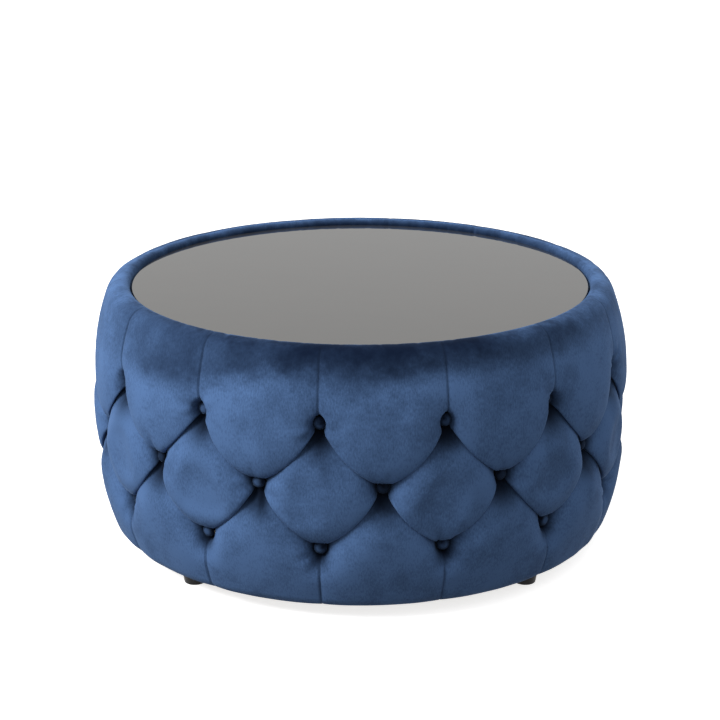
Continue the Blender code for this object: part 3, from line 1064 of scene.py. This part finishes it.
def foam():
    """The foam wrap: the same relief a little inside the cover, closed against the shell and rim board."""
    skin = Skin()
    x, grids = pillow_grids(closer_at_ends(8, 0.5), np.linspace(0, 1, 10))
    shell = FOAM_INSIDE
    middle = (shell, BELLY_HEIGHT)
    crest = CREST[1] - FOAM_GAP
    lip = (FOAM_SHELF[0], 0.4300)
    upper = [middle, (shell, FOAM_SHELF[1]), FOAM_SHELF, lip]
    upper += list(roll(lip, (lip[0], crest), (CREST[0], crest), 4))
    upper += list(roll(upper[-1], (0.4215, crest), (side_radius(SIDE_TOP) - FOAM_GAP, SIDE_TOP), 6))
    lower = [(side_radius(SIDE_BOTTOM) - FOAM_GAP, SIDE_BOTTOM)]
    lower += list(roll(lower[0], (0.4180, FOAM_FOOT), (shell + 0.001, FOAM_FOOT), 5))
    lower += [(shell, FOAM_FOOT + 0.001), middle]
    for number in range(BUTTON_COLUMNS):
        for section in (np.array(upper), np.array(lower)):
            xs = np.broadcast_to(x, (len(section), len(x)))
            skin.add(xs, xs, section[:, :1] + 0 * xs, section[:, 1:] + 0 * xs, number + 0.5)
        for kind, across, up, shift in grids:
            sink = pillow(kind, across, up, np.random.default_rng(SEED))[0]
            hollow = 0.014 * smooth(1 - nearest_button(kind, across, up) / 0.045)
            height = BOTTOM_ROW + up
            radius = np.maximum(side_radius(height) - sink - FOAM_GAP - hollow, shell + 0.001)
            skin.add(across, across, radius, height, number + shift)
    made = put("tufted_foam_wrap", skin.mesh("foam_relief"), foam_material(), "drum", ["foam_wrap"])


def boards():
    """The wooden parts keep their CAD shapes and get their finish here."""
    wood = plywood_material()
    fibre = hardboard_material()
    for name in ("base_board", "ledge_ring", "rim_ring", "lid_board", "side_shell"):
        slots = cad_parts[name].data.materials
        slots.clear()
        slots.append(fibre if name == "side_shell" else wood)


def button_mesh(name, shaded, count=32):
    """A domed button covered in the velvet, with painted shade from its pit: shaded is how much at the
    middle of its dome, and more towards its edge.
    """
    shape = bmesh.new()
    rings = []
    for radius, height in zip(BUTTON_RADII, BUTTON_HEIGHTS):
        turns = [2 * pi * number / count for number in range(count if radius else 1)]
        rings.append([shape.verts.new((radius * cos(turn), radius * sin(turn), height)) for turn in turns])
    for low, high in zip(rings, rings[1:]):
        for i in range(count):
            j = (i + 1) % count
            corners = [ring[k % len(ring)] for ring, k in ((low, i), (low, j), (high, j), (high, i))]
            shape.faces.new(list(dict.fromkeys(corners)))
    bmesh.ops.recalc_face_normals(shape, faces=shape.faces)
    made = bpy.data.meshes.new(name)
    shape.to_mesh(made)
    shape.free()
    made.uv_layers.new(name="cloth")
    # Painted shade, deepest at the button's edge where it meets its pit
    edge = [smooth((vertex.co.xy.length - 0.004) / 0.006) for vertex in made.vertices]
    shade = [shaded + (1 - shaded) * 0.67 * share for share in edge]
    made.attributes.new("tuck", "FLOAT", "POINT").data.foreach_set("value", shade)
    made.shade_smooth()
    return made


def buttons(velvet):
    # The deep buttons get more painted shade, besides sitting further in
    usual, deep = button_mesh("covered_button", 0.25), button_mesh("covered_button_deep", 0.68)
    for row, name in enumerate(("bottom", "middle", "top")):
        height = BOTTOM_ROW + row * ROW
        shift = 0.5 if name == "middle" else 0
        for number in range(BUTTON_COLUMNS):
            turn = BUTTON_PHASE + 2 * pi * (number + shift) / BUTTON_COLUMNS
            node = f"button_{name}_{number + 1:02d}"
            mesh, sunk = (deep, DEEP_SINK) if node in DEEP_BUTTONS else (usual, 0)
            out = float(side_radius(height)) - BUTTON_DEPTH + BUTTON_SEAT - sunk
            place = (out * sin(turn), -out * cos(turn), height)
            put(f"velvet_{node}", mesh, velvet, "drum", [node], place, (pi / 2, 0, turn))


def studio_dome():
    """Soft light from all round, strongest overhead and from behind, and little from below."""
    world = bpy.data.worlds.new("studio")
    world.use_nodes = True
    n = Nodes(world.node_tree, "Background")
    way = n.run("ShaderNodeTexCoord", output="Generated")
    ramp = n.run("ShaderNodeValToRGB", {"Fac": n.span(n.axis(way, "Z"), -1, 1)})
    stops = ramp.node.color_ramp.elements
    for stop, value in zip(stops, (DOME_LOW, DOME_TOP)):
        stop.color = (value, value, value, 1)
    for position, value in ((0.49, DOME_LOW), (0.51, DOME_HORIZON), (0.66, DOME_SIDE), (0.85, DOME_TOP)):
        stops.new(position).color = (value, value, value, 1)
    behind = n.span(n.axis(way, "Y"), 0.3, 0.8, 0, DOME_BACK)
    n.set("Strength", n.math("ADD", ramp, behind))
    n.set("Color", (1, 1, 1))
    bpy.context.scene.world = world


def key_light():
    light = bpy.data.lights.new("key", "AREA")
    light.energy = KEY_POWER
    light.size = KEY_SIZE
    made = bpy.data.objects.new("key", light)
    made.location = KEY_PLACE
    made.rotation_euler = (Vector((0, 0, 0.3)) - made.location).to_track_quat("-Z", "Y").to_euler()
    bpy.context.scene.collection.objects.link(made)


def stage():
    """A plain white floor, glowing faintly so that shadows stay light, and soft lights."""
    studio_dome()
    bpy.context.scene.view_settings.view_transform = "Standard"
    glow = {"Emission Color": (1, 0.99, 0.98), "Emission Strength": FLOOR_GLOW, "Specular IOR Level": 0.0}
    paper = new_material("white_floor", (0.85, 0.85, 0.85), 0.9, glow)[0]
    mesh = bpy.data.meshes.new("floor")
    mesh.from_pydata([(-40, -40, 0), (40, -40, 0), (40, 40, 0), (-40, 40, 0)], [], [(0, 1, 2, 3)])
    mesh.materials.append(paper)
    floor = bpy.data.objects.new("floor", mesh)
    floor.visible_diffuse = False
    bpy.context.scene.collection.objects.link(floor)
    key_light()


def main():
    camera()
    stage()
    velvet = velvet_material()
    cover = put("velvet_cover_tufted", cover_mesh(), velvet, "drum", ["velvet_cover"])
    inflate(cover)
    buttons(velvet_material("button_velvet", BUTTON_LEAN))
    foam()
    boards()
    liner()
    dust_cover()
    bumpers()
    glass()
    feet()
    steel = metal_material("staple_steel", (0.60, 0.59, 0.57), 0.30)
    staples("flange_staples", (FLANGE_EDGE + RECESS[0]) / 2, FLANGE_TOP, 64, steel)
    staples("dust_cover_staples", 0.388, sizes("dust_cover")[1] - 0.0002, 72, steel, -1)


main()
